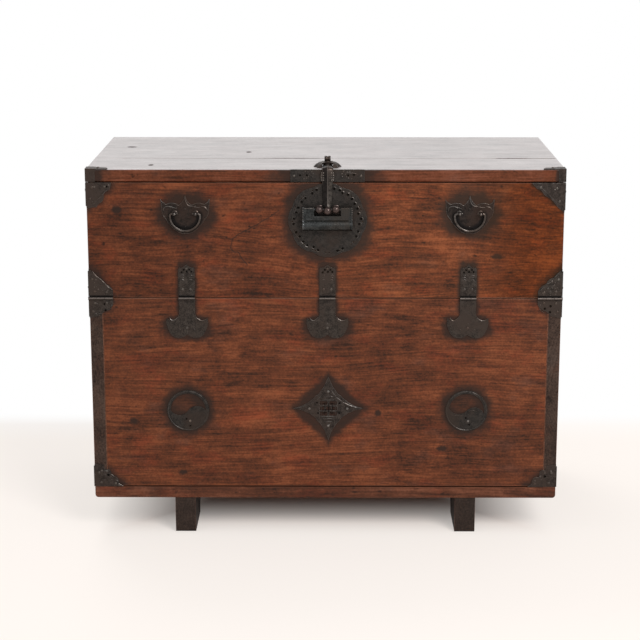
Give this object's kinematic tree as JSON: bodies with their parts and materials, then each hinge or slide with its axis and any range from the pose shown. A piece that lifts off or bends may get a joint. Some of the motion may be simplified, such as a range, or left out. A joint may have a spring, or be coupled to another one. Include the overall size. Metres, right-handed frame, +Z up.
{
  "type": "bandaji chest",
  "caption": "Front-opening wooden blanket chest on runners: the upper front drops as a flap on strap hinges, with bail handles, a hasp, a bar padlock and pierced iron mounts.",
  "frame": {"origin": "on the floor, under the middle of the whole chest with its ironwork", "axes": "+X to the right as seen from the front, +Y from the front to the back, +Z up"},
  "size_m": [0.916, 0.4839, 0.7488],
  "materials": {
    "lid_wood": "wax rubbed off, worn pale with a fine grain",
    "front_wood": "oiled reddish brown, dark stain round the ironwork",
    "side_wood": "oiled, darker than the front",
    "back_wood": "planed and left bare",
    "runner_wood": "oiled, dark",
    "black_iron": "blackened wrought sheet, worn lighter along its edges",
    "worn_iron": "forged and rubbed bright where hands touch it",
    "nail_iron": "forged heads, rubbed",
    "padlock_iron": "blue-grey iron, smoothed by handling",
    "spring_steel": "bare spring steel"
  },
  "bodies": {
    "carcass": {"lid_front_plank": "lid_wood", "lid_rear_plank": "lid_wood", "left_side": "side_wood", "right_side": "side_wood", "back_upper_board": "back_wood", "back_lower_board": "back_wood", "bottom_board": "side_wood", "lower_front_board": "front_wood", "left_runner": "runner_wood", "right_runner": "runner_wood", "rosette": "black_iron", "lid_eye_bolt": "worn_iron", "strap_hinge_pins": "worn_iron", "corner_hinge_pins": "worn_iron", "carcass_nails": "nail_iron", "lid_edge_plate": "black_iron", "left_lid_corner_mount": "black_iron", "right_lid_corner_mount": "black_iron", "left_strap_lower": "black_iron", "middle_strap_lower": "black_iron", "right_strap_lower": "black_iron", "left_corner_hinge_lower": "black_iron", "right_corner_hinge_lower": "black_iron", "left_bottom_corner_mount": "black_iron", "right_bottom_corner_mount": "black_iron", "diamond_mount": "black_iron", "left_taegeuk_mount": "black_iron", "right_taegeuk_mount": "black_iron"},
    "flap": {"flap_board": "front_wood", "lock_staples": "worn_iron", "left_bail_posts": "worn_iron", "right_bail_posts": "worn_iron", "flap_nails": "nail_iron", "left_strap_upper": "black_iron", "middle_strap_upper": "black_iron", "right_strap_upper": "black_iron", "left_corner_hinge_upper": "black_iron", "right_corner_hinge_upper": "black_iron", "left_flap_corner_mount": "black_iron", "right_flap_corner_mount": "black_iron", "lock_plate": "black_iron", "left_bail_plate": "black_iron", "right_bail_plate": "black_iron"},
    "left_bail": {"left_bail": "worn_iron"},
    "right_bail": {"right_bail": "worn_iron"},
    "hasp": {"hasp": "worn_iron"},
    "padlock": {"padlock_case": "padlock_iron", "padlock_key_plate": "padlock_iron"},
    "bolt": {"padlock_bolt": "padlock_iron", "padlock_springs": "spring_steel"}
  },
  "joints": [
    {"name": "flap_hinge", "type": "hinge", "parent": "carcass", "child": "flap", "pos_m": [0, -0.22138, 0.478], "axis": [1, 0, 0], "range_deg": [0, 165]},
    {"name": "left_bail_swing", "type": "hinge", "parent": "flap", "child": "left_bail", "pos_m": [-0.267, -0.226, 0.644], "axis": [1, 0, 0], "range_deg": [-95, 0]},
    {"name": "right_bail_swing", "type": "hinge", "parent": "flap", "child": "right_bail", "pos_m": [0.275, -0.226, 0.644], "axis": [1, 0, 0], "range_deg": [-95, 0]},
    {"name": "hasp_swing", "type": "hinge", "parent": "flap", "child": "hasp", "pos_m": [0.004, -0.231, 0.653], "axis": [-1, 0, 0], "range_deg": [-75, 0]},
    {"name": "padlock_swing", "type": "hinge", "parent": "flap", "child": "padlock", "pos_m": [0.004, -0.231, 0.653], "axis": [1, 0, 0], "range_deg": [-30, 0]},
    {"name": "bolt_slide", "type": "slide", "parent": "padlock", "child": "bolt", "axis": [1, 0, 0], "range_m": [0, 0.048]}
  ]
}
